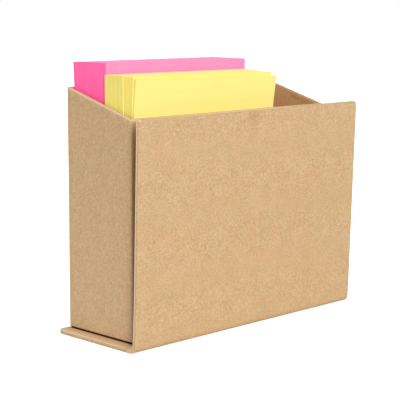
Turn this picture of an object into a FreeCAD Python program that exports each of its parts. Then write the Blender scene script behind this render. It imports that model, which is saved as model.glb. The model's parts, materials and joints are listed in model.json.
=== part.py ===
import FreeCAD, Part
import os
import re
import Sketcher
from FreeCAD import Placement, Rotation, Vector

# Desk holder for sticky memo pads, made of greyboard wrapped in kraft paper.
#
# A base board and a front flap are one L-shaped cover, joined by a paper fold along the bottom front edge.
# A tray with a high back, sides that slope down and a low front is glued on the base, and three pads stand
# in it. Millimetres, +X to the right, +Y to the back, +Z up. The origin is the centre of the underside of
# the base.

SIZES = {
    # Materials
    "board_thickness": 1.5,
    "paper_thickness": 0.12,
    "liner_thickness": 0.3,
    "edge_radius": 0.8,  # outer rounding of a wrapped edge
    # Cover
    "cover_width": 125.0,
    "base_depth": 40.7,  # from the hinged edge of the base to its back edge
    "flap_height": 87.2,  # top of the flap above the underside, when it stands upright
    "flap_lean": 1.5,  # degrees that the flap leans outwards at rest
    "cover_turn_in": 12.0,  # paper turned over onto the inner faces
    "lining_margin": 2.5,  # bare edge left round a lining sheet
    # Fold between the base and the flap
    "fold_reach": 3.8,  # from the hinged edge of the base to the outer face of the flap
    "fold_rise": 3.4,  # from the underside to the hinged edge of the flap
    "fold_radius": 3.0,
    "fold_clearance": 0.3,  # between the fold and the wrap of the flap
    # Tray
    "tray_width": 109.6,
    "tray_depth": 36.8,
    "tray_back_height": 94.1,
    "tray_front_height": 83.5,
    "tray_left_margin": 4.5,  # base showing to the left of the tray
    "tray_back_margin": 0.95,  # base showing behind the tray
    "rim_turn_in": 12.0,  # wrap turned over the rim and down inside
    "tray_hem": 10.0,  # wrap turned under the floor
    "lining_drop": 2.5,  # from the rim to the top of the lining
    # Mounting tape between the base and the tray
    "tape_thickness": 0.4,
    "tape_inset": 4.0,  # from the sides of the tray, which leaves an open gap round it
    # Pads, with the pink one at the back. Their sheets share the depth of the tray.
    "pad_width": 76.2,
    "pad_clearance": 0.2,
    "pad_side_gap": 0.4,
    "pad_front_gap": 0.2,  # between the front pad and the tray
    "pink_height": 101.6,
    "pink_share": 0.55,
    "yellow_height": 97.2,
    "yellow_back_share": 0.306,
    "yellow_back_shift": 0.1,  # to the right of the pink pad
    "yellow_front_height": 96.0,
    "yellow_front_shift": 0.9,
}

# Sizes that follow from the ones above.
DERIVED = {
    "wrapped_board": "(board_thickness + 2 * paper_thickness)",
    "lined_board": "(board_thickness + 3 * paper_thickness)",
    "covered_board": "(board_thickness + paper_thickness)",
    "inner_radius": "(edge_radius - paper_thickness)",
    "rim_slope": "((tray_back_height - tray_front_height) / tray_depth)",
    "hinge_offset": "(fold_radius * (1 - pi / 4))",
    "cover_front": "(-base_depth / 2 - fold_reach)",
    "tray_left": "(-cover_width / 2 + tray_left_margin)",
    "tray_front": "(base_depth / 2 - tray_back_margin - tray_depth)",
    "sheets_depth": "(tray_depth - 2 * (board_thickness + 3 * paper_thickness)"
    " - 3 * (liner_thickness + pad_clearance) - pad_front_gap)",
}

TOLERANCE = 1e-4

doc = FreeCAD.newDocument("MemoPadHolder")
sheet = doc.addObject("Spreadsheet::Sheet", "Sizes")
for row, (name, value) in enumerate(SIZES.items(), start=1):
    sheet.set(f"A{row}", name)
    sheet.set(f"B{row}", str(value))
    sheet.setAlias(f"B{row}", name)
doc.recompute()


def formula(text):
    """Write a formula of the names above in the form that an expression takes."""
    for name, meaning in DERIVED.items():
        text = re.sub(rf"\b{name}\b", meaning, text)
    return re.sub(r"\b([a-z]+_[a-z_]+)\b", r"Sizes.\1", text)


def bind(thing, path, text):
    thing.setExpression(path, formula(text))


def place(thing, x, y, z):
    """Bind where an object's own origin stands."""
    for axis, text in zip("xyz", (x, y, z)):
        bind(thing, f"Placement.Base.{axis}", text)


def near(a, b):
    return abs(a - b) < TOLERANCE


def new_body(label):
    body = doc.addObject("PartDesign::Body", label)
    body.Label = label
    return body


def new_sketch(body, role, corners, offset=("0", "0", "0")):
    """Draw a closed polygon on one of the body's origin planes.

    Each corner is a pair of formulas, and so is the offset of the sketch from its plane's origin.
    """
    plane = next(item for item in body.Origin.OriginFeatures if item.Role == role)
    sketch = body.newObject("Sketcher::SketchObject", f"{body.Label}_sketch")
    sketch.AttachmentSupport = [(plane, "")]
    sketch.MapMode = "FlatFace"
    for axis, text in zip("xyz", offset):
        bind(sketch, f"AttachmentOffset.Base.{axis}", text)
    count = len(corners)
    turns = [Rotation(Vector(0, 0, 1), 360 * i / count) for i in range(count)]
    start = [turn.multVec(Vector(5, 0, 0)) for turn in turns]
    for i in range(count):
        sketch.addGeometry(Part.LineSegment(start[i], start[(i + 1) % count]))
    for i in range(count):
        sketch.addConstraint(Sketcher.Constraint("Coincident", i, 2, (i + 1) % count, 1))
    for i, (across, up) in enumerate(corners):
        for kind, text, value in (("DistanceX", across, start[i].x), ("DistanceY", up, start[i].y)):
            index = sketch.addConstraint(Sketcher.Constraint(kind, -1, 1, i, 1, value))
            bind(sketch, f"Constraints[{index}]", text)
    return sketch


def rectangle(width, height):
    return [("0", "0"), (width, "0"), (width, height), ("0", height)]


def add_pad(body, sketch, length):
    pad = body.newObject("PartDesign::Pad", f"{body.Label}_pad")
    pad.Profile = sketch
    bind(pad, "Length", length)
    doc.recompute()
    return pad


def add_pocket_up(body, sketch):
    """Cut away everything above the sketch."""
    before = body.Shape.Volume
    pocket = body.newObject("PartDesign::Pocket", f"{body.Label}_pocket")
    pocket.Profile = sketch
    pocket.Type = "ThroughAll"
    pocket.Reversed = True
    doc.recompute()
    if body.Shape.Volume > before - TOLERANCE:
        raise RuntimeError(f"the pocket of {body.Label} cuts nothing")
    return pocket


def add_fillet(body, radius, is_wanted):
    """Round the edges of the body that a test picks."""
    base = body.Tip
    names = [f"Edge{i}" for i, edge in enumerate(base.Shape.Edges, start=1) if is_wanted(edge)]
    fillet = body.newObject("PartDesign::Fillet", f"{body.Label}_fillet")
    fillet.Base = (base, names)
    bind(fillet, "Radius", radius)
    doc.recompute()
    return fillet


def new_box(label, size, corner):
    box = doc.addObject("Part::Box", label)
    box.Label = label
    for side, text in zip(("Length", "Width", "Height"), size):
        bind(box, side, text)
    place(box, *corner)
    return box


def cut(label, base, tools):
    """Take the tools away from the base, one after the other."""
    for step, tool in enumerate(tools, start=1):
        result = doc.addObject("Part::Cut", label if step == len(tools) else f"{label}_step_{step}")
        result.Base = base
        result.Tool = tool
        base = result
    result.Label = label
    return result


def common(label, base, tool):
    result = doc.addObject("Part::Common", label)
    result.Label = label
    result.Base = base
    result.Tool = tool
    return result


def fuse(label, first, second):
    result = doc.addObject("Part::Fuse", label)
    result.Label = label
    result.Base = first
    result.Tool = second
    return result


# Cover. Each panel is a board, a wrap and a lining. It is drawn lying open, with its outer face down and its
# hinged edge along X. The two sides and the edge away from the hinge are the wrapped ones.

class Panel:
    def __init__(self, name, depth, edge_at, face_at, runs_back, put):
        self.name = name
        self.depth = depth
        self.edge_at = edge_at
        self.face_at = face_at
        self.runs_back = runs_back
        self.put = put

    def add_layer(self, body, inset, below, thickness):
        """Pad a sheet of the panel, inset from its wrapped edges and raised above its outer face."""
        depth = f"({self.depth} - {inset})"
        front = self.edge_at if self.runs_back else f"{self.edge_at} - {depth}"
        offset = (f"-cover_width / 2 + {inset}", front, f"{self.face_at} + {below}")
        sketch = new_sketch(body, "XY_Plane", rectangle(f"cover_width - 2 * {inset}", depth), offset)
        return add_pad(body, sketch, thickness)

    def rounded_block(self, label, inset, thickness, radius):
        body = new_body(label)
        self.add_layer(body, inset, inset, thickness)
        box = body.Tip.Shape.BoundBox
        hinged = box.YMin if self.runs_back else box.YMax

        def is_wrapped(edge):
            return not (near(edge.BoundBox.YMin, hinged) and near(edge.BoundBox.YMax, hinged))

        add_fillet(body, radius, is_wrapped)
        self.put(body)
        return body

    def build(self):
        board = self.rounded_block(f"{self.name}_board", "paper_thickness", "board_thickness", "inner_radius")
        block = self.rounded_block(f"{self.name}_block", "0", "wrapped_board", "edge_radius")
        window = new_body(f"{self.name}_window")
        self.add_layer(window, "cover_turn_in", "covered_board", "paper_thickness")
        self.put(window)
        wrap = cut(f"{self.name}_wrap", block, [board, window])
        lining = new_body(f"{self.name}_lining")
        self.add_layer(lining, "lining_margin", "wrapped_board", "paper_thickness")
        self.add_layer(lining, "cover_turn_in", "covered_board", "paper_thickness")
        self.put(lining)
        return [board, wrap, lining]


def lay_base(body):
    place(body, "0", "-base_depth / 2", "0")


def stand_flap(body):
    """Turn the open flap up about the hinge axis, which is its own origin, to where it stands at rest."""
    body.Placement = Placement(Vector(), Rotation(Vector(1, 0, 0), -90))
    place(body, "0", "cover_front + hinge_offset", "hinge_offset")
    bind(body, "Placement.Rotation.Angle", "flap_lean - 90")


base = Panel("base", "base_depth", "0", "0", True, lay_base)
flap = Panel("flap", "(flap_height - fold_rise)", "hinge_offset - fold_rise", "-hinge_offset", False, stand_flap)


def build_hinge_strip():
    """The paper that runs on from the underside of the base, round the fold and up to the flap."""
    body = new_body("hinge_strip")
    leg_top = "fold_rise - fold_clearance"
    profile = [
        ("0", "0"),
        ("fold_reach", "0"),
        ("fold_reach", "paper_thickness"),
        ("paper_thickness", "paper_thickness"),
        ("paper_thickness", leg_top),
        ("0", leg_top),
    ]
    add_pad(body, new_sketch(body, "YZ_Plane", profile, ("0", "0", "-cover_width / 2")), "cover_width")

    def lies_at(edge, distance):
        box = edge.BoundBox
        places = (box.YMin, box.YMax, box.ZMin, box.ZMax)
        return all(near(value, distance) for value in places)

    add_fillet(body, "fold_radius", lambda edge: lies_at(edge, 0))
    add_fillet(body, "fold_radius - paper_thickness", lambda edge: lies_at(edge, SIZES["paper_thickness"]))
    place(body, "0", "cover_front", "0")
    return body


def build_tape():
    tape = new_box(
        "tray_tape",
        ("tray_width - 2 * tape_inset", "tray_depth - 2 * tape_inset", "tape_thickness"),
        ("tray_left + tape_inset", "tray_front + tape_inset", "lined_board"),
    )
    return tape


# Tray. Nested blocks with the outline of its side, each inset from the outside of the tray.

def place_in_tray(thing, x="0", y="0", z="0"):
    place(thing, f"tray_left + {x}", f"tray_front + {y}", f"lined_board + tape_thickness + {z}")


def tray_block(label, inset, bottom, drop):
    """Solid block that reaches from a height above the tray's underside to a distance below its rim."""
    body = new_body(label)
    back_edge = f"tray_depth - {inset}"
    side = [
        (inset, bottom),
        (back_edge, bottom),
        (back_edge, f"tray_back_height - rim_slope * {inset} - {drop}"),
        (inset, f"tray_front_height + rim_slope * {inset} - {drop}"),
    ]
    add_pad(body, new_sketch(body, "YZ_Plane", side, ("0", "0", inset)), f"tray_width - 2 * {inset}")
    place_in_tray(body)
    return body


def open_tray(label, inset, cavity_inset, radius):
    """Tray whose outer edges are rounded, and its rim on both sides."""
    body = tray_block(label, inset, inset, inset)
    corners = rectangle(f"tray_width - 2 * {cavity_inset}", f"tray_depth - 2 * {cavity_inset}")
    add_pocket_up(body, new_sketch(body, "XY_Plane", corners, (cavity_inset, cavity_inset, "covered_board")))
    outside = body.Tip.Shape.BoundBox
    floor_top = SIZES["board_thickness"] + SIZES["paper_thickness"] + TOLERANCE

    def is_outer_or_rim(edge):
        box = edge.BoundBox
        if box.ZMin > floor_top:
            return True
        on_side = near(box.XMin, outside.XMin) or near(box.XMax, outside.XMax)
        on_end = near(box.YMin, outside.YMin) or near(box.YMax, outside.YMax)
        on_bottom = near(box.ZMax, outside.ZMin)
        on_corner = on_side and on_end and box.ZLength > TOLERANCE
        return on_bottom or on_corner

    add_fillet(body, radius, is_outer_or_rim)
    return body


def build_tray():
    """Five boards, the wrap that goes over the rim and under the floor, and the linings."""
    core = open_tray("tray_core", "paper_thickness", "covered_board", "inner_radius")
    full_depth = "tray_depth - 2 * paper_thickness"
    inner_width = "tray_width - 2 * covered_board"
    walls_height = "tray_back_height - covered_board"
    right_wall = "tray_width - covered_board"
    back_wall = "tray_depth - covered_board"
    rooms = {
        "tray_floor_board": (
            ("tray_width", "tray_depth", "board_thickness"),
            ("0", "0", "paper_thickness"),
        ),
        "tray_left_board": (
            ("board_thickness", full_depth, walls_height),
            ("paper_thickness", "paper_thickness", "covered_board"),
        ),
        "tray_right_board": (
            ("board_thickness", full_depth, walls_height),
            (right_wall, "paper_thickness", "covered_board"),
        ),
        "tray_front_board": (
            (inner_width, "board_thickness", walls_height),
            ("covered_board", "paper_thickness", "covered_board"),
        ),
        "tray_back_board": (
            (inner_width, "board_thickness", walls_height),
            ("covered_board", back_wall, "covered_board"),
        ),
    }
    boards = []
    for label, (size, corner) in rooms.items():
        room = new_box(f"{label}_room", size, ("0", "0", "0"))
        place_in_tray(room, *corner)
        boards.append(common(label, core, room))

    skin = open_tray("tray_skin", "0", "wrapped_board", "edge_radius")
    below_turn_in = tray_block("tray_below_turn_in", "covered_board", "covered_board", "rim_turn_in")
    hem_window = new_box(
        "tray_hem_window",
        ("tray_width - 2 * tray_hem", "tray_depth - 2 * tray_hem", "paper_thickness"),
        ("0", "0", "0"),
    )
    place_in_tray(hem_window, "tray_hem", "tray_hem", "0")
    wrap = cut("tray_wrap", skin, [core, below_turn_in, hem_window])

    inside_turn_in = tray_block("tray_inside_turn_in", "wrapped_board", "covered_board", "lining_drop")
    lined_space = fuse("tray_lined_space", below_turn_in, inside_turn_in)
    inner_size = ("tray_width - 2 * lined_board", "tray_depth - 2 * lined_board")
    inside = new_box("tray_inside", (*inner_size, "tray_back_height"), ("0", "0", "0"))
    place_in_tray(inside, "lined_board", "lined_board", "covered_board")
    lining = cut("tray_lining", lined_space, [inside])
    floor_lining = new_box("tray_floor_lining", (*inner_size, "paper_thickness"), ("0", "0", "0"))
    place_in_tray(floor_lining, "lined_board", "lined_board", "covered_board")
    return [*boards, wrap, lining, floor_lining]


# Pads. Each stands on the tray's floor with its release liner behind it.

def build_pad(name, thickness, height, behind, shift):
    """A block of sheets and its liner. What stands behind it is a formula for the depth taken up so far."""
    left = f"lined_board + pad_side_gap + {shift}"
    floor = "wrapped_board + pad_clearance"
    back = f"tray_depth - lined_board - ({behind}) - pad_clearance"
    pieces = []
    for label, depth, front in (
        (f"{name}_pad", thickness, f"{back} - liner_thickness - {thickness}"),
        (f"{name}_liner", "liner_thickness", f"{back} - liner_thickness"),
    ):
        body = new_body(label)
        add_pad(body, new_sketch(body, "XY_Plane", rectangle("pad_width", depth)), height)
        place_in_tray(body, left, front, floor)
        pieces.append(body)
    return pieces


def build_pads():
    slot = "liner_thickness + pad_clearance"
    pink = "pink_share * sheets_depth"
    yellow_back = "yellow_back_share * sheets_depth"
    yellow_front = "(1 - pink_share - yellow_back_share) * sheets_depth"
    behind_back = f"{pink} + {slot}"
    behind_front = f"{behind_back} + {yellow_back} + {slot}"
    return [
        *build_pad("pink", pink, "pink_height", "0", "0"),
        *build_pad("yellow_back", yellow_back, "yellow_height", behind_back, "yellow_back_shift"),
        *build_pad("yellow_front", yellow_front, "yellow_front_height", behind_front, "yellow_front_shift"),
    ]


def check(nodes):
    doc.recompute()
    for item in doc.Objects:
        if "Invalid" in item.State or "Error" in item.State:
            raise RuntimeError(f"{item.Label} failed: {item.State}")
    for node in nodes:
        if node.Shape.isNull() or not node.Shape.isValid() or len(node.Shape.Solids) != 1:
            raise RuntimeError(f"{node.Label} isn't one valid solid")


nodes = [*base.build(), *flap.build(), build_hinge_strip(), build_tape(), *build_tray(), *build_pads()]
check(nodes)
os.makedirs("parts", exist_ok=True)
for node in nodes:
    node.Shape.exportStep(f"parts/{node.Label}.step")
    print(f"{node.Label}: {node.Shape.Volume:.1f} mm3")
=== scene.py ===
"""Dressed model of a desk holder for sticky memo pads, made of greyboard wrapped in kraft paper.

A base and a front flap are one cover, joined by a paper fold. An open tray stands on the base, and three
pads of loose sheets stand in the tray. Metres, +X to the right, +Y to the back, +Z up.
"""
import json

import bmesh
import bpy
import numpy as np
from mathutils import Matrix, Vector


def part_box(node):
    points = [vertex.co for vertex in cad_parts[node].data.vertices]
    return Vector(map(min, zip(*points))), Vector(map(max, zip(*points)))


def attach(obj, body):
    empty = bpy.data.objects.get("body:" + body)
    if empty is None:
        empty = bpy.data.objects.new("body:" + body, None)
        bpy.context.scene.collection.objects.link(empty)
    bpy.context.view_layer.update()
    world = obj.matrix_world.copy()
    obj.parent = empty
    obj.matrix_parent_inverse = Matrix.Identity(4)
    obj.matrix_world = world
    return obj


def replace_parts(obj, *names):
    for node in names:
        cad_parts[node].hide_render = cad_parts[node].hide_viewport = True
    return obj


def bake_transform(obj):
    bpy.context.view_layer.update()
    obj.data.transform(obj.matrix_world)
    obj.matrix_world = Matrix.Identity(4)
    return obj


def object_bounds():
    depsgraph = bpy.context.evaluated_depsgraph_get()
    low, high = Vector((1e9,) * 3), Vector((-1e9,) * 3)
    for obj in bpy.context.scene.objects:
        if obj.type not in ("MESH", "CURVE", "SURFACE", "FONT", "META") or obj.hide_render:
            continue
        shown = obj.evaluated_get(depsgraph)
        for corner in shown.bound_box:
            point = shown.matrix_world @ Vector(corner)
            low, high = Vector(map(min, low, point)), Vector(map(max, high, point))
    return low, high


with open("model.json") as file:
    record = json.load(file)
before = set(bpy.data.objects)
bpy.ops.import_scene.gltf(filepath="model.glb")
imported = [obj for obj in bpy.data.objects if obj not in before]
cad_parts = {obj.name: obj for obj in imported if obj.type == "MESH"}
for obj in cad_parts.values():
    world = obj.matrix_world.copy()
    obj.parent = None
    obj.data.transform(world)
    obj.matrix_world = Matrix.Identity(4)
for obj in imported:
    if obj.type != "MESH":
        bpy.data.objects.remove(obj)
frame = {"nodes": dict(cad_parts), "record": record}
CAD_BOX = [list(corner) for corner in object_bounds()]
MM = 0.001
RANDOM = np.random.default_rng(41)


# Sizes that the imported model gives, and those of folded and trimmed paper

def corners(node):
    """Lowest and highest corner of a node."""
    return (np.array(corner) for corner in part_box(node))


def vertices(node):
    """Every corner point of a node's mesh."""
    points = np.empty(len(frame["nodes"][node].data.vertices) * 3, np.float32)
    frame["nodes"][node].data.vertices.foreach_get("co", points)
    return points.reshape(-1, 3).astype(float)


def height_of(node):
    """Height of a node: the thickness of a board or paper that lies flat."""
    low, high = corners(node)
    return high[2] - low[2]


PAPER = height_of("tray_floor_lining")
BOARD = height_of("tray_floor_board")
WRAPPED = BOARD + 2 * PAPER
TURN_IN, HEM = 12 * MM, 10 * MM
FRONT_RIM = float(vertices("tray_front_board")[:, 2].max())
HINGE = next(joint for joint in frame["record"]["behaviour"]["joints"] if joint["name"] == "flap_hinge")

# Rounding of the tray's rim and foot, of the outer edges of base and flap, and of the inner edges of both
RIM_RADIUS, FOOT_RADIUS = 0.8 * MM, 0.3 * MM
BASE_RADIUS, FLAP_RADIUS = 0.4 * MM, 0.22 * MM
INNER_RADIUS = 0.45 * MM

# Rounding of the corners, seen from the front or from above. The base has two for the back and two for the
# front. The papers' inner turns keep the least rounding.
FLAP_CORNER = 1.1 * MM
BASE_CORNERS = np.array([2.0, 2.0, 1.1, 1.1]) * MM
LEAST_CORNER = 0.3 * MM
TRAY_CORNER, LEAST_TRAY_CORNER = 0.8 * MM, 0.25 * MM

# How far to the right of true the sides are cut: of the base, and of the fold where it meets the flap
BASE_LEFT, BASE_RIGHT = -0.45 * MM, 0.0 * MM
FOLD_LEFT, FOLD_RIGHT = 0.0 * MM, -0.6 * MM

# Sheets of a pad: the thickness, the share of it that is paper and not air, and how many shift together
SHEET = 0.1 * MM
PAPER_SHARE = 0.97
BUNDLE = 14

# How softly the sheets' lean sets in at the front wall's rim, and how many times as high above it is full
LEAN_SOFTNESS = 2.5 * MM
FULL_LEAN = 5.2


# Meshes from grids of points

def smoothstep(value, start, end):
    """Rises from 0 at start to 1 at end, level at both: t * t * (3 - 2 * t)."""
    t = np.clip((value - start) / (end - start), 0, 1)
    return t * t * (3 - 2 * t)


def between(pair, share):
    """Value at a share of the way from the first of a pair to the second."""
    return pair[0] + (pair[1] - pair[0]) * share


def grid_faces(rows, columns, closed=False):
    """Four-sided faces between neighbours on a grid. A closed grid joins its last column to its first."""
    across = np.arange(columns if closed else columns - 1)
    row, column = np.meshgrid(np.arange(rows - 1), across, indexing="ij")
    after = (column + 1) % columns
    here = row * columns
    loops = [here + column, here + after, here + columns + after, here + columns + column]
    return np.stack(loops, -1).reshape(-1, 4)


def new_piece(name, points, faces, materials, picks=None, smooth=True, caps=(), **values):
    """Object with a mesh of these points and faces. Caps are faces with any number of corners.

    picks gives the material of each face, and values have a number for each point.
    """
    mesh = bpy.data.meshes.new(name)
    mesh.from_pydata(points.reshape(-1, 3).tolist(), [], faces.tolist() + list(caps))
    for material in materials:
        mesh.materials.append(material)
    if picks is not None:
        mesh.polygons.foreach_set("material_index", np.asarray(picks, np.int32))
    for label, value in values.items():
        attribute = mesh.attributes.new(label, "FLOAT", "POINT")
        attribute.data.foreach_set("value", np.asarray(value, np.float32).ravel())
    mesh.polygons.foreach_set("use_smooth", np.full(len(mesh.polygons), smooth))
    mesh.update()
    piece = bpy.data.objects.new(name, mesh)
    bpy.context.scene.collection.objects.link(piece)
    return piece


def merge_points(piece):
    """Join points that lie on each other."""
    work = bmesh.new()
    work.from_mesh(piece.data)
    bmesh.ops.remove_doubles(work, verts=work.verts, dist=0.002 * MM)
    work.to_mesh(piece.data)
    work.free()


def give_thickness(piece):
    """Paper's thickness behind the surface."""
    solid = piece.modifiers.new("thickness", "SOLIDIFY")
    solid.thickness = PAPER
    solid.offset = -1
    solid.use_even_offset = True
    solid.use_quality_normals = True


# Materials

def add_node(tree, kind, sockets=None, **settings):
    """Node with these settings. A socket that is given another node's output is linked to it."""
    node = tree.nodes.new(kind)
    for label, value in settings.items():
        setattr(node, label, value)
    for label, value in (sockets or {}).items():
        if isinstance(value, bpy.types.NodeSocket):
            tree.links.new(value, node.inputs[label])
        else:
            node.inputs[label].default_value = value
    return node


class Shader:
    """Nodes of one material. A method adds nodes and gives back what comes out of them."""

    def __init__(self, name, roughness, specular):
        self.material = bpy.data.materials.new(name)
        self.material.use_nodes = True
        self.tree = self.material.node_tree
        self.surface = self.tree.nodes["Principled BSDF"]
        self.surface.inputs["Roughness"].default_value = roughness
        self.surface.inputs["Specular IOR Level"].default_value = specular
        self.place = self.add("ShaderNodeTexCoord").outputs["Object"]

    def add(self, kind, sockets=None, **settings):
        """Node of this material."""
        return add_node(self.tree, kind, sockets, **settings)

    def noise(self, size, detail=2.0, stretch=(1, 1, 1), turn=(0, 0, 0), distortion=0.0):
        """Cloudy values about 0.5, with spots of this size, drawn out along an axis by stretch."""
        sockets = {"Vector": self.place, "Rotation": turn, "Scale": [1 / value for value in stretch]}
        place = self.add("ShaderNodeMapping", sockets).outputs["Vector"]
        sockets = {"Vector": place, "Scale": 1 / size, "Detail": detail, "Distortion": distortion}
        return self.add("ShaderNodeTexNoise", sockets).outputs["Fac"]

    def spread(self, value, low, high, new_low=0.0, new_high=1.0):
        """Map a value from one range to another, and hold it there."""
        sockets = {"Value": value, "From Min": low, "From Max": high, "To Min": new_low, "To Max": new_high}
        return self.add("ShaderNodeMapRange", sockets).outputs["Result"]

    def calculate(self, first, second, operation="MULTIPLY"):
        """Product of two values, or what another operation makes of them."""
        return self.add("ShaderNodeMath", {0: first, 1: second}, operation=operation).outputs[0]

    def mix(self, amount, first, second, blend="MIX"):
        """Colour between two colours."""
        sockets = {0: amount, 6: first, 7: second}
        return self.add("ShaderNodeMix", sockets, data_type="RGBA", blend_type=blend).outputs[2]

    def attribute(self, name):
        """Value that the piece's points carry under this name, or 0."""
        return self.add("ShaderNodeAttribute", attribute_name=name).outputs["Fac"]

    def near_rim(self, most):
        """The value most at the height of the front wall's rim, and less and less over 16 mm above it."""
        height = self.add("ShaderNodeSeparateXYZ", {"Vector": self.place}).outputs[2]
        return self.spread(height, FRONT_RIM, FRONT_RIM + 16 * MM, most, 0.0)

    def inside(self, low, high, fade):
        """1 within a rectangle seen from above, falling to 0 over the distance fade outside it."""
        split = self.add("ShaderNodeSeparateXYZ", {"Vector": self.place}).outputs
        centre, half = (low + high) / 2, (high - low) / 2
        masks = []
        for axis in (0, 1):
            offset = self.calculate(split[axis], float(centre[axis]), "SUBTRACT")
            away = self.calculate(offset, 0.0, "ABSOLUTE")
            masks.append(self.spread(away, float(half[axis]), float(half[axis]) + fade, 1.0, 0.0))
        return self.calculate(*masks)

    def bump(self, height, strength, distance, normal=None):
        """Surface direction over this relief, which may lie on another relief."""
        sockets = {"Height": height, "Strength": strength, "Distance": distance}
        if normal is not None:
            sockets["Normal"] = normal
        return self.add("ShaderNodeBump", sockets).outputs["Normal"]

    def glow(self, colour, strength):
        """Light that the paper gives off on top of what it reflects, whatever lights it: painted light,
        standing in partly for the real glow of fluorescent paper.
        """
        self.surface.inputs["Emission Color"].default_value = colour
        self.surface.inputs["Emission Strength"].default_value = strength

    def finish(self, colour, normal, roughness=None):
        """Join up the surface, and give back the material."""
        self.tree.links.new(colour, self.surface.inputs["Base Color"])
        self.tree.links.new(normal, self.surface.inputs["Normal"])
        if roughness is not None:
            self.tree.links.new(roughness, self.surface.inputs["Roughness"])
        return self.material


def colour(red, green, blue):
    """Linear colour with alpha, from screen values 0 to 255."""
    values = np.array([red, green, blue]) / 255
    linear = np.where(values < 0.04045, values / 12.92, ((values + 0.055) / 1.055) ** 2.4)
    return (*linear.tolist(), 1.0)


# Colours of painted shade in the gap behind the flap and of the painted contact shadow, and the tint of warm
# patches
UNFADED = colour(138, 80, 34)
DRIED_GLUE = colour(78, 44, 20)
WARM_TINT = (1.06, 0.965, 0.965, 1.0)

# How far pulp clouds change the paper's colour, how far painted shade darkens it toward the tray's rim and
# in the gap behind the flap, and how far a painted contact shadow reaches out round what stands on the paper
CLOUDING, HANDLING, COVERING = 0.28, 0.14, 0.52
GLUE_REACH = 0.8 * MM


def kraft_paper(name, tone, dark, pale, rubbed, mark=None, glue_under=None):
    """Brown wrapping paper: clouds of pulp, dark and pale fibres lying three ways, flecks, and edges pale
    from wear and painted highlight.

    Values that the piece's points carry say where painted shade darkens it toward the tray's rim, where
    painted shade darkens it in the gap behind the flap, where it is pale from wear and painted highlight,
    and where a contact shadow is painted on it. mark is the middle of one faint dark spot, and the argument
    after mark holds the lowest and highest corner of what stands on the paper, round which a contact shadow
    is painted.
    """
    shader = Shader(name, roughness=0.9, specular=0.05)

    # Pulp, fibres and flecks
    clouds = shader.spread(shader.noise(4.5 * MM, detail=3), 0.3, 0.7)
    grain = shader.spread(shader.noise(0.62 * MM, detail=2), 0.3, 0.7)
    base = shader.mix(shader.calculate(clouds, CLOUDING), tone, dark)
    base = shader.mix(shader.spread(grain, 0.45, 1.0, 0.0, 0.5), base, pale)
    base = shader.mix(shader.spread(grain, 0.45, 0.0, 0.0, 0.52), base, dark)
    fibres = None
    for turn in ((0.5, 0.4, 0.3), (-0.6, 0.9, 1.3), (1.1, -0.4, 2.2)):
        strand = shader.noise(0.2 * MM, detail=1, stretch=(1, 1, 9), turn=turn, distortion=0.3)
        fibres = strand if fibres is None else shader.calculate(fibres, strand, "MAXIMUM")
    base = shader.mix(shader.spread(fibres, 0.66, 0.8, 0.0, 0.55), base, pale)
    flecks = shader.noise(0.33 * MM, detail=1, stretch=(1, 2.2, 1.3), turn=(0.4, 1.0, 0.2))
    base = shader.mix(shader.spread(flecks, 0.3, 0.2, 0.0, 0.6), base, dark)

    # Use and light: the mark, painted shade toward the rim and behind the flap, and pale wear with painted
    # highlight
    if mark is not None:
        away = shader.add("ShaderNodeVectorMath", {0: shader.place, 1: mark}, operation="DISTANCE")
        near = shader.spread(away.outputs["Value"], 1.2 * MM, 4.2 * MM, 1.0, 0.0)
        specks = shader.spread(shader.noise(0.9 * MM, detail=3), 0.4, 0.62, 0.0, 0.8)
        base = shader.mix(shader.calculate(near, specks), base, dark)
    base = shader.mix(shader.calculate(shader.attribute("handled"), HANDLING), base, dark)
    base = shader.mix(shader.calculate(shader.attribute("covered"), COVERING), base, UNFADED)
    wear = shader.spread(shader.noise(0.9 * MM, detail=3), 0.25, 0.75, 0.45, 1.0)
    base = shader.mix(shader.calculate(shader.attribute("rub"), wear), base, rubbed)

    # Warm patches, small and large, and the painted contact shadow
    for size, amount in ((1.1 * MM, 1.0), (5 * MM, 0.7)):
        warmth = shader.calculate(shader.spread(shader.noise(size, detail=3), 0.3, 0.7), amount)
        base = shader.mix(warmth, base, WARM_TINT, "MULTIPLY")
    glued = shader.attribute("glued") if glue_under is None else shader.inside(*glue_under, GLUE_REACH)
    base = shader.mix(glued, base, DRIED_GLUE)

    # A fine tooth, with the fibres raised on it
    rough = shader.spread(grain, 0.0, 1.0, 0.72, 0.9)
    tooth = shader.bump(shader.noise(0.12 * MM, detail=2), 0.25, 0.03 * MM)
    relief = shader.bump(fibres, 0.35, 0.05 * MM, tooth)
    return shader.finish(base, relief, rough)


def wrap_paper():
    """The paper outside. It has one faint dark mark near the flap's top edge."""
    low, high = corners("flap_board")
    return kraft_paper(
        "kraft_wrap_paper",
        tone=colour(214, 186, 139),
        dark=colour(183, 153, 105),
        pale=colour(231, 210, 172),
        rubbed=colour(242, 222, 186),
        mark=(0.5 * (low[0] + high[0]) - 1.8 * MM, low[1], high[2] - 3.0 * MM),
    )


def lining_paper():
    """The paper inside. It is darker and yellower than the wrap: painted shade and warm bounced light inside
    the tray and behind the flap.
    """
    return kraft_paper(
        "kraft_lining_paper",
        tone=colour(207, 180, 126),
        dark=colour(180, 147, 92),
        pale=colour(222, 194, 146),
        rubbed=colour(226, 196, 156),
    )


def base_lining_paper():
    """Lining of the base. It is paler than the tray's, as painted light from above on the base's top, and
    has a painted contact shadow under and just round the tray.
    """
    return kraft_paper(
        "kraft_base_lining_paper",
        tone=colour(228, 199, 150),
        dark=colour(200, 167, 115),
        pale=colour(240, 216, 174),
        rubbed=colour(226, 196, 156),
        glue_under=corners("tray_wrap"),
    )


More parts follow.
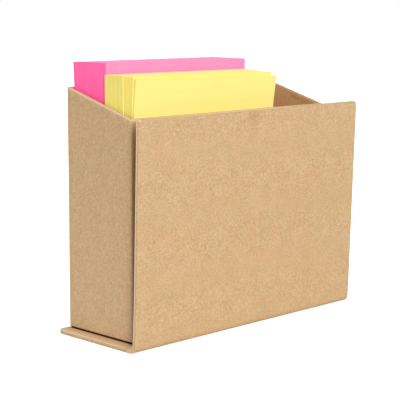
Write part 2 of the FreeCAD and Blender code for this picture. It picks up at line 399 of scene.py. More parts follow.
def grey_board():
    """Grey pulp board: dark and pale specks over a mottled ground, and thin layers at its cut edges."""
    shader = Shader("greyboard", roughness=0.9, specular=0.2)
    mottle = shader.spread(shader.noise(1.6 * MM, detail=4), 0.3, 0.7)
    base = shader.mix(mottle, colour(150, 143, 134), colour(176, 169, 158))
    specks = shader.noise(0.25 * MM, detail=2)
    base = shader.mix(shader.spread(specks, 0.36, 0.26), base, colour(96, 90, 84))
    base = shader.mix(shader.spread(specks, 0.64, 0.76), base, colour(206, 200, 190))
    layers = shader.noise(0.3 * MM, detail=1, stretch=(12, 12, 1))
    return shader.finish(base, shader.bump(layers, 0.4, 0.05 * MM))


def backing_paper():
    """Smooth coated paper behind a pad, with a faint mottle."""
    shader = Shader("release_backing_paper", roughness=0.45, specular=0.4)
    mottle = shader.spread(shader.noise(2.5 * MM, detail=3), 0.3, 0.7)
    base = shader.mix(mottle, colour(238, 236, 224), colour(228, 225, 210))
    return shader.finish(base, shader.bump(shader.noise(0.2 * MM), 0.1, 0.02 * MM))


def mounting_tape():
    """Foam tape, coloured dark brown as painted shade in the gap under the tray: tiny closed cells, darker
    between them.
    """
    shader = Shader("mounting_tape", roughness=0.65, specular=0.3)
    cells = shader.noise(0.18 * MM, detail=2)
    base = shader.mix(shader.spread(cells, 0.35, 0.65), colour(66, 43, 25), colour(92, 64, 40))
    return shader.finish(base, shader.bump(cells, 0.4, 0.04 * MM))


def note_face(name, tone, deep, glow, strength, at_rim=None):
    """Face of a sheet: smooth coloured paper with faint pulp clouds and a fine tooth.

    at_rim is its colour low down, by the front wall's rim, if that differs: painted light where the flap
    shades the sheets.
    """
    shader = Shader(name, roughness=0.7, specular=0.25)
    clouds = shader.spread(shader.noise(9 * MM, detail=4), 0.3, 0.75)
    grain = shader.spread(shader.noise(0.4 * MM, detail=2), 0.3, 0.7)
    base = shader.mix(shader.calculate(clouds, 0.7), tone, deep)
    base = shader.mix(shader.calculate(grain, 0.25), base, deep)
    if at_rim is not None:
        base = shader.mix(shader.near_rim(1.0), base, at_rim)
    shader.glow(glow, strength)
    return shader.finish(base, shader.bump(shader.noise(0.15 * MM), 0.15, 0.02 * MM))


def note_edges(name, tone, deep, pale, glow, strength, at_rim=None):
    """Cut edges of a stack of sheets. The value "tone" tells them apart, and the guillotine leaves streaks.

    at_rim is their colour low down, by the front wall's rim, if that differs: painted shade where the tray's
    walls shade the edges.
    """
    shader = Shader(name, roughness=0.75, specular=0.2)
    sheets = shader.attribute("tone")
    base = shader.mix(shader.spread(sheets, 0.5, 0.0), tone, deep)
    base = shader.mix(shader.spread(sheets, 0.5, 1.0), base, pale)
    streaks = shader.noise(0.5 * MM, detail=3, stretch=(1, 1, 14))
    base = shader.mix(shader.spread(streaks, 0.35, 0.7, 0.0, 0.3), base, deep)
    if at_rim is not None:
        base = shader.mix(shader.near_rim(0.75), base, at_rim)
    shader.glow(glow, strength)
    return shader.finish(base, shader.bump(streaks, 0.2, 0.04 * MM))


WRAP = wrap_paper()
LINING = lining_paper()
BASE_LINING = base_lining_paper()
GREYBOARD = grey_board()
BACKING = backing_paper()
TAPE = mounting_tape()


# Rings, and wraps that follow them

CORNER_STEPS = 5


def quarter_turn(steps=CORNER_STEPS):
    """Angles from 0 to a right angle."""
    return np.linspace(0, np.pi / 2, steps + 1)


def even_stops(count):
    """Places that divide a side into this many equal runs, without its two ends."""
    return np.linspace(0, 1, count + 1)[1:-1]


def ring(half_x, half_y, radius, stops):
    """Ring round a rectangle with round corners, anticlockwise from the right-hand side's far end.

    Each corner is centre + radius * (cos, sin), and the points of a side share out the straight run between
    two corners by the fractions in stops. The sizes may be columns, which gives one ring to a row, and the
    radius may have a column for each corner.
    """
    half_x, half_y = (np.reshape(size, (-1, 1)) for size in (half_x, half_y))
    radius = np.broadcast_to(radius, (len(half_x), 4))
    arcs = []
    for quarter, (side_x, side_y) in enumerate([(1, 1), (-1, 1), (-1, -1), (1, -1)]):
        angle = quarter_turn() + quarter * np.pi / 2
        own = radius[:, quarter:quarter + 1]
        x = side_x * (half_x - own) + own * np.cos(angle)
        y = side_y * (half_y - own) + own * np.sin(angle)
        arcs.append(np.stack([x, y], -1))
    parts = []
    for quarter in range(4):
        start, end = arcs[quarter][:, -1:], arcs[(quarter + 1) % 4][:, :1]
        share = np.asarray(stops[quarter])[None, :, None]
        parts += [arcs[quarter], start + (end - start) * share]
    return np.concatenate(parts, 1)


def corner_rub(stops):
    """Wear along a ring: the root of a half sine wave round each corner, and none along the sides."""
    corner = np.sin(np.linspace(0, np.pi, CORNER_STEPS + 1)) ** 0.5
    return np.concatenate([part for side in stops for part in (corner, np.zeros(len(side)))])


def stretched(x, width, plus, minus):
    """x after its sides at +width / 2 and -width / 2 have moved by plus and minus, and evenly in between."""
    return x * (1 + (plus - minus) / width) + (plus + minus) / 2


class Panel:
    """A cover board with paper round it. Its own x runs across, y along and z inward from the outer face.

    cut gives, at distances along the board, how far its sides at +width / 2 and -width / 2 are moved along
    x from their true place. low_edge gives, at shares of the width from the side at -width / 2, how far the
    far edge lies short of the true depth. Folded paper makes the far corners thicker by gather.
    """

    stops = [even_stops(25), even_stops(17)] * 2

    def __init__(self, origin, axes, width, depth, cut, low_edge=((0, 1), (0, 0)), gather=0.0):
        self.origin, self.axes, self.width, self.depth = origin, axes, width, depth
        self.cut, self.low_edge, self.gather = cut, low_edge, gather

    def shell(self, inset, rise, share, radius):
        """Points of a shell, from rings that lie inset from the outline and rise from the outer face.

        share draws a ring in towards the middle of the board. The gather falls off from each far corner as
        exp(-(distance / 3 mm) ** 2).
        """
        gather_reach = 3 * MM
        plan = ring(self.width / 2 - inset, self.depth / 2 - inset, radius, self.stops)
        plan = plan * share[:, None, None]
        x, y = plan[..., 0], plan[..., 1] + self.depth / 2
        away = np.hypot(np.abs(x) - self.width / 2, self.depth - y) / gather_reach
        z = rise[:, None] * (1 + self.gather / WRAPPED * np.exp(-away**2))
        y = y * (1 - np.interp(x / self.width + 0.5, *self.low_edge) / self.depth)
        places, plus, minus = self.cut
        x = stretched(x, self.width, np.interp(y, places, plus), np.interp(y, places, minus))
        return self.origin + np.stack([x, y, z], -1) @ self.axes

    def wrap(self, name, outer, corner, crest, palest, inner_wear, side_wear):
        """Paper from the middle of the outer face, over the edges and onto the inner face.

        One parameter goes round the board. The other goes out across the outer face, round the edge on two
        quarter circles, the first of which has the radius outer, and in again to the cut edge of the paper.
        The paper is palest, from wear and painted highlight, at the angle crest of the second quarter
        circle.
        """
        turn = quarter_turn()
        spot, crest_width, edge_wear = 1.5 * outer, 0.75, 1.1
        shares = np.array([0, 0.2, 0.4, 0.6, 0.75, 0.87, 0.95, 0.985, 1.0])
        side = outer + np.array([0.5, 0.74]) * (WRAPPED - INNER_RADIUS - outer)
        turned_in = np.linspace(INNER_RADIUS, TURN_IN, 6)[1:]
        inset = np.concatenate([np.full(len(shares), outer), outer * (1 - np.sin(turn[1:])), 0 * side,
                                INNER_RADIUS * (1 - np.cos(turn)), turned_in])
        rise = np.concatenate([0 * shares, outer * (1 - np.cos(turn[1:])), side,
                               WRAPPED - INNER_RADIUS * (1 - np.sin(turn)), 0 * turned_in + WRAPPED])
        share = np.concatenate([shares, np.ones(len(inset) - len(shares))])
        radius = np.maximum(np.atleast_1d(corner) - inset[:, None], LEAST_CORNER)
        points = self.shell(inset, rise, share, radius)
        worn = inner_wear + (palest - inner_wear) * np.exp(-((turn - crest) / crest_width)**2)
        wear = np.concatenate([0 * shares, 0 * turn[1:], [0, side_wear], worn, 0 * turned_in + inner_wear])
        edge = (inset < spot) & (share == 1)
        wear = np.maximum(wear[:, None], edge_wear * corner_rub(self.stops)[None, :] * edge[:, None])
        piece = new_piece(name, points, grid_faces(*points.shape[:2], closed=True), [WRAP], rub=wear)
        merge_points(piece)
        give_thickness(piece)
        return piece

    def board(self, name, corner):
        """The greyboard inside: out across one face, over the cut edge with small bevels, and in again."""
        clearance, bevel = 0.02 * MM, 0.08 * MM
        share = np.array([0, 0.5, 1, 1, 1, 1, 0.5, 0])
        rise = PAPER + BOARD * np.array([0, 0, 0, 0.08, 0.92, 1, 1, 1])
        inset = PAPER + clearance + bevel * np.array([1, 1, 1, 0, 0, 1, 1, 1])
        points = self.shell(inset, rise, share, np.atleast_1d(corner) - inset[:, None])
        faces = grid_faces(*points.shape[:2], closed=True)
        piece = new_piece(name, points, faces, [GREYBOARD], smooth=False)
        merge_points(piece)
        return piece


def base_wrap():
    """The base's board and paper. Its corners are rounder at the back, where the paper is also gathered."""
    low, high = corners("base_wrap")
    size = high - low
    cut = (0, size[1]), np.full(2, BASE_RIGHT), np.full(2, BASE_LEFT)
    panel = Panel(np.array([0, low[1], low[2]]), np.eye(3), size[0], size[1], cut, gather=0.25 * MM)
    # Painted light: the turned-in paper on the base's top is paler as light from above, and the edge's crest
    # is palest, from wear and painted highlight
    piece = panel.wrap("base_paper", BASE_RADIUS, BASE_CORNERS, crest=1.15, palest=1.4, inner_wear=0.5,
                       side_wear=0.12)
    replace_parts(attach(piece, "holder"), "base_wrap")
    board = panel.board("base_greyboard", BASE_CORNERS)
    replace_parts(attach(board, "holder"), "base_board")


class Flap:
    """Own axes of the flap: across, along from the fold to the top, and inward from its outer face.

    It leans by what its joint's range lacks of a right angle. face is the point of the outer face nearest to
    the hinge's axis, and bottom is where the outer face begins.
    """

    pivot = np.array(HINGE["pos_m"])
    lean = np.radians(90 - HINGE["range_deg"][1])
    across = np.array([-1.0, 0, 0])
    along = np.array([0, -np.sin(lean), np.cos(lean)])
    inward = np.array([0, np.cos(lean), np.sin(lean)])
    axes = np.stack([across, along, inward])
    extent = (vertices("flap_wrap") - pivot) @ axes.T
    low, high = extent.min(0), extent.max(0)
    face = pivot + inward * low[2]
    bottom = face + along * low[1]


def flap():
    """The flap's board and paper.

    Its left side is cut a little short above the fold and its right side all along, and its top dips in the
    middle: straight runs between the values given at these places.
    """
    size = Flap.high - Flap.low
    places = np.array([0, 4, 13, 80, 87]) * MM
    left, right = np.array([0, 0, -0.26, -0.26, -0.14]) * MM, np.array([0.6, 0.52, 0.45, 0.22, 0.17]) * MM
    low_edge = (0, 0.26, 0.36, 0.88, 1), np.array([0, 0.06, 0.58, 0.68, 0.37]) * MM
    panel = Panel(Flap.bottom, Flap.axes, size[0], size[1], (places, left, right), low_edge)
    # Painted highlight: a pale line on the inner edge's rounding and up the sides, with some wear
    paper = panel.wrap("flap_paper", FLAP_RADIUS, FLAP_CORNER, crest=0.0, palest=1.5, inner_wear=0.0,
                       side_wear=1.0)
    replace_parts(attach(paper, "flap"), "flap_wrap")
    board = panel.board("flap_greyboard", FLAP_CORNER)
    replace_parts(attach(board, "flap"), "flap_board")


def fold_path(base_end):
    """Way of the fold's outer face from the base to the flap: a straight, an arc and a straight.

    Gives five points along the base, fifteen round the arc and three up the flap, with the direction out of
    the paper and the angle turned at each. The hinge's axis stands 1 - pi / 4 of the arc's radius above the
    floor, so that the paper keeps its length as the flap turns.
    """
    front, lean = Flap.face, Flap.lean
    overlap = 1.2 * MM
    radius = Flap.pivot[2] / (1 - np.pi / 4)
    centre_y = front[1] + (radius + np.sin(lean) * (front[2] - radius)) / np.cos(lean)
    turn = np.concatenate([np.zeros(5), np.linspace(0, np.pi / 2 - lean, 15), np.full(3, np.pi / 2 - lean)])
    outward = -np.stack([0 * turn, np.sin(turn), np.cos(turn)], -1)
    path = np.array([0, centre_y, radius]) + radius * outward
    path[:5, 1] = np.linspace(base_end + overlap, centre_y, 6)[:-1]
    upper_run = (Flap.bottom + Flap.along * overlap - path[-4]) * [0, 1, 1]
    path[-3:] = path[-4] + np.linspace(0, 1, 4)[1:, None] * upper_run
    return path, outward, turn


def fold_profile(half, turn):
    """Half of the fold's profile at each angle, from the middle of the outer face to that of the inner face.

    Gives x across, and the rise from the outer face. The paper is thin in the middle and as thick as a
    wrapped board at the end, where the turned-in paper is gathered and its corners are rounded by quarter
    circles. The gathered paper swells by a squared sine along the path. The profile stands a hair outside
    the papers that it runs on from.
    """
    skin, thin, thick = -0.012 * MM, 3 * PAPER, WRAPPED + 0.03 * MM
    inner_radius, flat = 0.3 * MM, 22
    outer, inner = quarter_turn(6), quarter_turn(4)
    rounding = BASE_RADIUS + (FLAP_RADIUS - BASE_RADIUS) * smoothstep(turn, 0, turn[-1])
    outside = np.concatenate([np.linspace(0, half - BASE_RADIUS, flat), np.full(len(outer) - 1, half)])
    rounded = np.concatenate([np.zeros(flat), 1 - np.sin(outer[1:])])
    depth = np.concatenate([np.zeros(flat), 1 - np.cos(outer[1:])])
    under = np.concatenate([half - inner_radius * (1 - np.cos(inner)), half - np.linspace(0.5, 3.6, 9) * MM,
                            np.linspace(half - 5 * MM, 0, 14)])
    gather = thin + (thick - thin) * smoothstep(under, half - 3.4 * MM, half - 0.6 * MM)
    gather[:len(inner)] = thick - inner_radius * (1 - np.sin(inner))
    swell = 0.65 * MM * np.sin(np.pi * turn / turn[-1])[:, None]**2 * (gather - thin) / (thick - thin)
    x = np.concatenate([outside - rounding[:, None] * rounded, under + 0 * swell], 1)
    rise = np.concatenate([skin + rounding[:, None] * depth, gather + swell], 1)
    return x, rise


def fold():
    """Paper that runs on from the base, round the fold and up the flap: a profile carried along a path.

    It is trimmed as the base is at one end and as the flap is at the other. Both sides are pale from wear
    and painted highlight, in a spot near the base and along the inner edge.
    """
    low, high = corners("hinge_strip")
    path, outward, turn = fold_path(high[1])
    half = (high[0] - low[0]) / 2 + 0.01 * MM
    x, rise = fold_profile(half, turn)
    x, rise = np.concatenate([x, -x[:, -2:0:-1]], 1), np.concatenate([rise, rise[:, -2:0:-1]], 1)
    points = path[:, None] - outward[:, None] * rise[..., None]
    way = smoothstep(turn, 0, turn[-1])[:, None]
    points[..., 0] = stretched(x, 2 * half, between((BASE_RIGHT, FOLD_RIGHT), way),
                               between((BASE_LEFT, FOLD_LEFT), way))
    rows, columns = points.shape[:2]
    faces = grid_faces(rows, columns, closed=True)
    caps = [list(range(columns))[::-1], list(range((rows - 1) * columns, rows * columns))]
    at_side = smoothstep(np.abs(x), half - 0.5 * MM, half - 0.05 * MM)
    spot = np.exp(-((turn[:, None] - 0.25) / 0.35)**2 - ((rise / MM - 0.75) / 0.5)**2)
    crest = 0.5 * np.exp(-((rise / MM - 1.5) / 0.3)**2)
    rub = np.maximum(1.3 * spot, crest) * at_side
    piece = new_piece("fold_paper", points, faces, [WRAP], caps=caps, rub=rub)
    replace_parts(piece, "hinge_strip")
    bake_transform(piece)


def rim_line():
    """Height of the rim at a depth, as a function. The lining's top has the rim's slope, lower down."""
    points = vertices("tray_lining")
    ends = points[:, 1].min(), points[:, 1].max()
    tops = [points[np.abs(points[:, 1] - end) < 0.01 * MM, 2].max() for end in ends]
    slope = (tops[1] - tops[0]) / (ends[1] - ends[0])
    wrap = vertices("tray_wrap")
    above = (wrap[:, 2] - tops[0] - slope * (wrap[:, 1] - ends[0])).max()
    return lambda depth: tops[0] + above + slope * (depth - ends[0])


class TraySection:
    """Section through the tray's paper: hem, bottom edge, wall, over the rim, and the part turned in.

    For each row: how far it lies inset from the outline, its share of the way up to the rim, how pale it is
    from wear and painted light, and whether a contact shadow is painted on it. For a row below the rim, also
    the height of its foot, and for the others their drop from the rim.
    """

    turn = quarter_turn()
    hem = np.linspace(HEM, RIM_RADIUS, 4)
    wall = np.concatenate([[0.008], even_stops(11), [0.992]])
    turned_in = np.linspace(0, 1, 5)[1:]
    inset = np.concatenate([hem, FOOT_RADIUS * (1 - np.sin(turn)), 0 * wall, RIM_RADIUS * (1 - np.cos(turn)),
                            WRAPPED - RIM_RADIUS * (1 - np.sin(turn)), 0 * turned_in + WRAPPED])
    foot = np.concatenate([0 * hem, FOOT_RADIUS * (1 - np.cos(turn)), 0 * wall + FOOT_RADIUS])
    share = np.concatenate([0 * hem, 0 * turn, wall, np.ones(2 * len(turn) + len(turned_in))])
    drop = np.concatenate([RIM_RADIUS * (1 - np.sin(turn)), RIM_RADIUS * (1 - np.cos(turn)),
                           RIM_RADIUS + turned_in * (TURN_IN - RIM_RADIUS)])
    rows, below_rim = len(inset), len(foot)
    over_rim = below_rim + len(turn)
    rub = np.zeros(rows)
    # Painted light: the wall is paler toward its foot, and over the rim it is pale from wear and a painted
    # highlight on the crest
    rub[len(hem) + len(turn):below_rim] = 0.16 * (1 - wall)
    rub[below_rim:over_rim] = 0.15 + 0.75 * np.sin(np.linspace(0, 0.85 * np.pi, len(turn)))
    # Painted contact shadow on the hem and the foot's rounding, where the tray stands on the base
    glued = (np.arange(rows) < len(hem) + CORNER_STEPS).astype(float)


def tray_wrap():
    """One strip of paper round the tray, with the section above. It laps over its start near the right.

    One parameter goes round the walls and the other up and over them. The height is the foot of the wall
    plus a share of the way to the rim, which slopes from back to front and is a little higher at the right.
    The front wall is painted darker behind the flap, as shade in the gap between flap and tray, and the
    paper is painted darker toward the rim.
    """
    low, high = corners("tray_wrap")
    centre, half = (low + high) / 2, (high - low) / 2
    section, below = TraySection, TraySection.below_rim
    inset, share, foot = section.inset, section.share, section.foot[:, None]

    # Plan: the back has two more points, close together, at the edge of the lap
    lap_place, lap_edge = 0.1, 0.3 * MM
    lap = np.array([lap_place, lap_place + lap_edge / (2 * half[0])])
    back = np.sort(np.concatenate([even_stops(25), lap]))
    stops = [back, even_stops(13), even_stops(25), even_stops(13)]
    corner = np.maximum(TRAY_CORNER - inset, LEAST_TRAY_CORNER)
    plan = ring(half[0] - inset, half[1] - inset, corner[:, None], stops) + centre[:2]
    rows, columns = plan.shape[:2]

    # Heights of the rim above each point, and of the points
    top = rim_line()(plan[..., 1]) + 0.25 * MM * smoothstep(plan[..., 0], low[0], high[0])
    z = np.empty((rows, columns))
    z[:below] = low[2] + foot + share[:below, None] * (top[:below] - RIM_RADIUS - low[2] - foot)
    z[below:] = top[below:] - section.drop[:, None]

    # One more paper's thickness from the back's right end to the lap, on the outer side
    before = CORNER_STEPS + 1
    lapped = smoothstep(back, 0, 0.02) * (back < lap[1])
    strip = np.concatenate([np.zeros(before), lapped, np.zeros(columns - before - len(back))])
    outside = (inset < RIM_RADIUS)[:, None] * (np.arange(rows) < section.over_rim)[:, None]
    plan[..., 1] += PAPER * strip[None, :] * outside

    # Painted shade in the gap behind the flap: the front wall is darker away from its side corners, its foot
    # and its rim
    from_side = half[0] - np.abs(plan[..., 0] - centre[0])
    covered = smoothstep(from_side, 0.5 * MM, 1.15 * MM) * (plan[..., 1] < centre[1])
    covered *= smoothstep(z, 2 * MM, 12 * MM) * smoothstep(top - z, 0.5 * MM, 5 * MM)
    # Painted light and shade by rows: pale wear and painted highlight, darker toward the rim, and a contact
    # shadow at the foot
    rub, handled, glued = (np.repeat(value, columns) for value in (section.rub, share, section.glued))
    # The turned-in rows take the lining's darker colour: painted shade inside the tray
    lined = np.repeat(np.arange(rows - 1) >= section.over_rim, columns).astype(int)
    points = np.concatenate([plan, z[..., None]], -1)
    piece = new_piece("tray_paper", points, grid_faces(rows, columns, closed=True), [WRAP, LINING], lined,
                      rub=rub, handled=handled, glued=glued, covered=covered)
    give_thickness(piece)
    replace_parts(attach(piece, "holder"), "tray_wrap")


def tray_tape():
    """Tape under the tray, pressed out to near its walls: a closed shell with half-round sides."""
    low, high = corners("tray_tape")
    thick = high[2] - low[2]
    outline_low, outline_high = corners("tray_wrap")
    centre, half = (outline_low + outline_high) / 2, (outline_high - outline_low) / 2
    margin, corner = 0.5 * MM, 0.35 * MM
    turn = np.linspace(-np.pi / 2, np.pi / 2, 7)
    inset = np.concatenate([[0, 0], thick / 2 * (1 - np.cos(turn)), [0, 0]]) + margin
    z = low[2] + np.concatenate([[0, 0], thick / 2 * (1 + np.sin(turn)), [thick, thick]])
    share = np.concatenate([[0, 0.9], np.ones(len(turn)), [0.9, 0]])
    plan = ring(half[0] - inset, half[1] - inset, corner, [even_stops(7)] * 4)
    plan = plan * share[:, None, None] + centre[:2]
    points = np.concatenate([plan, np.broadcast_to(z[:, None, None], (*plan.shape[:2], 1))], -1)
    piece = new_piece("tray_tape_sheet", points, grid_faces(*plan.shape[:2], closed=True), [TAPE])
    merge_points(piece)
    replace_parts(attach(piece, "holder"), "tray_tape")


# Pads

def sheet_faces(count, rows, columns):
    """Faces of closed thin boxes, one to a sheet, and a kind for each: 0 face, 1 side edge, 2 end edge."""
    front = np.arange(rows * columns).reshape(rows, columns)
    back = front + rows * columns
    face = grid_faces(rows, columns)
    quads, kinds = [face, face[:, ::-1] + rows * columns], [np.zeros(2 * len(face), int)]
    edges = [(front[:, 0], back[:, 0], 1), (back[:, -1], front[:, -1], 1), (back[0], front[0], 2),
             (front[-1], back[-1], 2)]
    for first, second, kind in edges:
        quads.append(np.stack([first[:-1], first[1:], second[1:], second[:-1]], -1))
        kinds.append(np.full(len(first) - 1, kind))
    quads = np.concatenate(quads)
    faces = quads[None] + 2 * rows * columns * np.arange(count)[:, None, None]
    return faces.reshape(-1, 4), np.tile(np.concatenate(kinds), count)


class Pad:
    """How the sheets of a pad stand.

    trim makes them narrower. slide moves them to the right, drop shortens them and slant lowers their top at
    the right, each by its first value at the back sheet and its second at the front sheet. lean brings the
    front sheet's top forward over the front wall, by its first value at the left and its second at the
    right, and the other tops by a part of that. splay brings the back sheets' top to the left, above the
    side wall. The last few, loose sheets also have their own drop, slant and lean.
    """

    def __init__(self, node, trim=0.0, slide=(0, 0), drop=(0, 0), slant=(0, 0), lean=(0, 0), splay=0.0,
                 loose=0, loose_drop=0.0, loose_slant=0.0, loose_lean=(0, 0)):
        self.low, self.high = corners(node)
        self.size = self.high - self.low
        self.trim, self.slide, self.drop, self.slant = trim, slide, drop, slant
        self.lean, self.splay = lean, splay
        self.loose, self.loose_drop, self.loose_slant = loose, loose_drop, loose_slant
        self.loose_lean = loose_lean

    def place(self, over, up, y, part, last, shift, dip):
        """Points of sheets, from shares of their width and height.

        part is a sheet's share of the way to the front, and last is 1 for a loose sheet. The lean sets in
        softly above the front wall: it follows log(1 + exp(height above the wall's rim)). The slide is 0.4
        of its full value at the foot, and the splay grows over the top tenth.
        """
        fall = between(self.drop, part) + between(self.slant, part) * over
        fall = fall + (self.loose_drop + self.loose_slant * over) * last
        z = self.low[2] + (self.size[2] - fall - dip) * up
        forward = np.logaddexp(0, (z - FRONT_RIM) / LEAN_SOFTNESS) / FULL_LEAN
        lean = between(self.lean, over) * part + between(self.loose_lean, over) * last
        slid = between(self.slide, part) * (0.4 + 0.6 * up) + shift
        splayed = self.splay * (1 - part) * np.clip((up - 0.9) / 0.1, 0, 1) * (1 - over)
        x = self.low[0] + slid + (self.size[0] - self.trim) * over - splayed
        return np.stack(np.broadcast_arrays(x, y - lean * forward, z), -1)

    def sheets(self, name, materials, body, slot, node, pale_ends=0):
        """Stack of loose sheets, each a thin closed box. Those at both faces of the stack may be pale."""
        count = int(round(self.size[1] / SHEET))
        pitch = self.size[1] / count
        index = np.arange(count)[:, None, None]
        part = index / (count - 1)
        last = np.clip(index - (count - self.loose) + 1, 0, 1)
        bends = any(self.lean) or self.loose or self.splay
        up = np.array([0, 0.6, 0.84, 0.89, 0.94, 1]) if bends else np.array([0, 1])
        up, over = np.meshgrid(up, np.array([0, 1]), indexing="ij")
        bundle = np.repeat(RANDOM.normal(0, 0.02 * MM, count // BUNDLE + 1), BUNDLE)[:count]
        shift = (bundle + RANDOM.normal(0, 0.012 * MM, count))[:, None, None]
        dip = np.abs(RANDOM.normal(0, 0.015 * MM, count))[:, None, None]
        y = self.high[1] - pitch * (index + PAPER_SHARE)
        front = self.place(over, up, y, part, last, shift, dip)
        points = np.stack([front, front + np.array([0, PAPER_SHARE * pitch, 0])], 1)
        faces, kinds = sheet_faces(count, *over.shape)
        tone = np.clip(0.5 + RANDOM.normal(0, 0.09, count), 0, 1)
        if pale_ends:
            tone[:pale_ends] = 0.95
            tone[-pale_ends + 1:] = 0.95
        tone = np.broadcast_to(tone[:, None, None, None], points.shape[:-1])
        piece = new_piece(name, points, faces, materials, kinds, smooth=False, tone=tone)
        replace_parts(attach(piece, body), node)

    def backing(self, name, body, node):
        """Coated paper behind the pad, which stands as its back sheet does and is a little smaller."""
        low, high = corners(node)
        gap, shorter = 0.03 * MM, 1.0 * MM
        up, over = np.meshgrid(np.linspace(0, 1, 6), np.linspace(0.012, 0.988, 6), indexing="ij")
        front = self.place(over, up, low[1] + gap, 0 * up, 0, 0, shorter)
        back = front + np.array([0, high[1] - low[1] - 2 * gap, 0])
        faces, _ = sheet_faces(1, *up.shape)
        piece = new_piece(name, np.stack([front, back])[None], faces, [BACKING], smooth=False)
        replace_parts(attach(piece, body), node)


def pink_pad():
    """Pink sheets, which stand nearly straight at the back of the tray."""
    # Fixed glow of the fluorescent paper: painted light, partly standing in for real fluorescence
    glow = (1.0, 0.12, 0.5, 1.0)
    face = note_face("pink_note_face", colour(254, 157, 206), colour(252, 146, 196), glow, 0.04)
    # The side edges darken low down by the front wall's rim: painted shade
    side = note_edges("pink_note_side", colour(255, 108, 166), colour(250, 92, 152),
                      colour(255, 128, 182), glow, 0.12, at_rim=colour(255, 76, 138))
    # The top edges take a paler copy of the edge colours and a stronger glow: painted light from above
    top = note_edges("pink_note_top", colour(255, 196, 234), colour(251, 176, 218),
                     colour(255, 212, 240), glow, 0.14)
    pad = Pad("pink_pad", trim=0.4 * MM, slide=(-0.36 * MM, 0.6 * MM), drop=(0.09 * MM, 0.0),
              slant=(0.1 * MM, 0.35 * MM), splay=0.4 * MM)
    pad.sheets("pink_sheets", [face, side, top], "pink", "pink_sheets", "pink_pad")
    pad.backing("pink_backing", "pink", "pink_liner")


def yellow_pads():
    """Yellow sheets in two groups. The front group leans over the front wall and ends in loose sheets."""
    # Fixed glow of the fluorescent paper: painted light, partly standing in for real fluorescence; the
    # faces' strong glow also lifts the shade low down
    glow = (1.0, 0.9, 0.2, 1.0)
    # The faces are paler low down by the front wall's rim: painted light
    face = note_face("yellow_note_face", colour(255, 231, 140), colour(253, 225, 128), glow, 0.17,
                     at_rim=colour(255, 243, 148))
    side = note_edges("yellow_note_side", colour(244, 231, 128), colour(229, 211, 100),
                      colour(252, 246, 160), glow, 0.01)
    # The top edges take a paler copy of the edge colours and a stronger glow: painted light from above
    top = note_edges("yellow_note_top", colour(255, 243, 200), colour(250, 233, 174),
                     colour(255, 247, 220), glow, 0.08)
    papers = [face, side, top]
    pad = Pad("yellow_back_pad", slide=(-0.5 * MM, 0.05 * MM), drop=(-0.03 * MM, 0.0),
              slant=(0.2 * MM, 0.8 * MM))
    pad.sheets("yellow_back_sheets", papers, "yellow_back", "yellow_sheets", "yellow_back_pad", pale_ends=4)
    pad.backing("yellow_back_backing", "yellow_back", "yellow_back_liner")
    pad = Pad("yellow_front_pad", slide=(-0.72 * MM, -0.25 * MM), drop=(-0.95 * MM, -0.95 * MM),
              slant=(0.65 * MM, 0.7 * MM), lean=(0.8 * MM, 0.0), loose=7, loose_drop=0.9 * MM,
              loose_slant=0.38 * MM, loose_lean=(0.75 * MM, 2.1 * MM))
    pad.sheets("yellow_front_sheets", papers, "yellow_front", "yellow_sheets", "yellow_front_pad")
    pad.backing("yellow_front_backing", "yellow_front", "yellow_front_liner")


def dress_nodes():
    """Materials of the boards and linings that stay, by the last word of their names."""
    for name, node in frame["nodes"].items():
        material = {"board": GREYBOARD, "lining": LINING}.get(name.split("_")[-1])
        if name == "base_lining":
            material = BASE_LINING
        if material:
            node.data.materials.clear()
            node.data.materials.append(material)


# Camera, light and floor

CAMERA_PLACE = (-0.3651, -0.36045, 0.1271)
CAMERA_TURN, CAMERA_DIP, CAMERA_ROLL = np.radians([44.966, 8.731, -0.190])
PICTURE_PIXELS, FOCAL_PIXELS = 400, 1268.375
SENSOR_WIDTH = 36
SOFTBOX_PLACE, SOFTBOX_AIM = (-1.4, -2.53, 1.22), (0, 0, 0.05)
SOFTBOX_SIZE, SOFTBOX_POWER, SOFTBOX_TINT = (0.6, 1.4), 47.5, (1, 0.99, 0.955)
SKY_TINT, SKY_STRENGTH = (1, 1, 1.06, 1), 0.54
FLOOR_LEVEL = CAD_BOX[0][2] - 0.02 * MM
FLOOR_RADII = np.array([0.0, 0.2, 0.6, 1.5, 4.0])
FLOOR_SIDES = 96


def camera():
    """Camera that looks along its turn and dip, with a little roll about the line of sight."""
    turn, dip, roll = CAMERA_TURN, CAMERA_DIP, CAMERA_ROLL
    ahead = np.array([np.sin(turn) * np.cos(dip), np.cos(turn) * np.cos(dip), -np.sin(dip)])
    right = np.array([np.cos(turn), -np.sin(turn), 0])
    down = np.cross(ahead, right)
    image_right = np.cos(roll) * right + np.sin(roll) * down
    image_down = -np.sin(roll) * right + np.cos(roll) * down
    data = bpy.data.cameras.new("camera")
    data.lens = FOCAL_PIXELS / PICTURE_PIXELS * SENSOR_WIDTH
    data.sensor_width = SENSOR_WIDTH
    data.clip_end = 20
    view = bpy.data.objects.new("camera", data)
    matrix = np.eye(4)
    matrix[:3, :3] = np.stack([image_right, -image_down, -ahead], 1)
    matrix[:3, 3] = CAMERA_PLACE
    view.matrix_world = Matrix(matrix.tolist())
    bpy.context.scene.collection.objects.link(view)
    bpy.context.scene.camera = view


def seen(tree):
    """1 for what the eye sees, also in gloss or through glass, and 0 for light on its way to the object."""
    path = add_node(tree, "ShaderNodeLightPath").outputs
    rays = {0: path["Is Camera Ray"], 1: path["Is Glossy Ray"]}
    either = add_node(tree, "ShaderNodeMath", rays, operation="MAXIMUM").outputs[0]
    rays = {0: either, 1: path["Is Transmission Ray"]}
    return add_node(tree, "ShaderNodeMath", rays, operation="MAXIMUM").outputs[0]


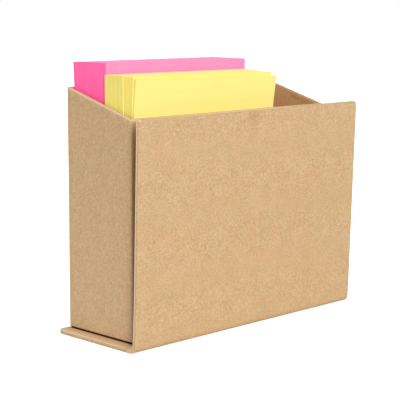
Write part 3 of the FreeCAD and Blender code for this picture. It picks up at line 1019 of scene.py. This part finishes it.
def softbox():
    """Tall, faintly warm softbox to the front and left."""
    data = bpy.data.lights.new("key_softbox", "AREA")
    data.shape = "RECTANGLE"
    data.size, data.size_y = SOFTBOX_SIZE
    data.energy = SOFTBOX_POWER
    data.color = SOFTBOX_TINT
    item = bpy.data.objects.new("key_softbox", data)
    item.location = SOFTBOX_PLACE
    item.rotation_euler = (Vector(SOFTBOX_AIM) - Vector(SOFTBOX_PLACE)).to_track_quat("-Z", "Y").to_euler()
    bpy.context.scene.collection.objects.link(item)


def sky():
    """Soft light from all round, which looks plain white where it is seen."""
    world = bpy.data.worlds.new("studio")
    world.use_nodes = True
    tree = world.node_tree
    light = tree.nodes["Background"]
    light.inputs["Color"].default_value = SKY_TINT
    light.inputs["Strength"].default_value = SKY_STRENGTH
    white = add_node(tree, "ShaderNodeBackground", {"Color": (1, 1, 1, 1), "Strength": 1.0})
    both = {0: seen(tree), 1: light.outputs[0], 2: white.outputs[0]}
    mixed = add_node(tree, "ShaderNodeMixShader", both).outputs[0]
    tree.links.new(mixed, tree.nodes["World Output"].inputs["Surface"])
    bpy.context.scene.world = world


def floor():
    """Round white floor, in rings of points. What is seen of it is lifted to white, and the shadow stays.

    The lift grows from 0.72 at 0.08 m from the middle to 1 at 0.35 m.
    """
    turn = np.linspace(0, 2 * np.pi, FLOOR_SIDES + 1)[:-1]
    radius = FLOOR_RADII[:, None]
    level = np.full((len(radius), FLOOR_SIDES), FLOOR_LEVEL)
    points = np.stack([radius * np.cos(turn), radius * np.sin(turn), level], -1)
    material = bpy.data.materials.new("studio_floor")
    material.use_nodes = True
    tree = material.node_tree
    tree.nodes.clear()
    place = add_node(tree, "ShaderNodeTexCoord").outputs["Object"]
    away = add_node(tree, "ShaderNodeVectorMath", {0: place}, operation="LENGTH").outputs["Value"]
    reach = {"Value": away, "From Min": 0.08, "From Max": 0.35, "To Min": 0.72, "To Max": 1.0}
    lift = add_node(tree, "ShaderNodeMapRange", reach).outputs["Result"]
    strength = add_node(tree, "ShaderNodeMath", {0: seen(tree), 1: lift}, operation="MULTIPLY").outputs[0]
    glow = add_node(tree, "ShaderNodeEmission", {"Strength": strength}).outputs[0]
    paint = add_node(tree, "ShaderNodeBsdfDiffuse", {"Color": (0.9, 0.9, 0.9, 1)}).outputs[0]
    total = add_node(tree, "ShaderNodeAddShader", {0: paint, 1: glow}).outputs[0]
    add_node(tree, "ShaderNodeOutputMaterial", {"Surface": total})
    faces = grid_faces(len(radius), FLOOR_SIDES, closed=True)[:, ::-1]
    piece = new_piece("floor", points, faces, [material])
    merge_points(piece)


camera()
softbox()
sky()
floor()
dress_nodes()
base_wrap()
flap()
fold()
tray_wrap()
tray_tape()
pink_pad()
yellow_pads()
bpy.context.scene.view_settings.view_transform = "Standard"
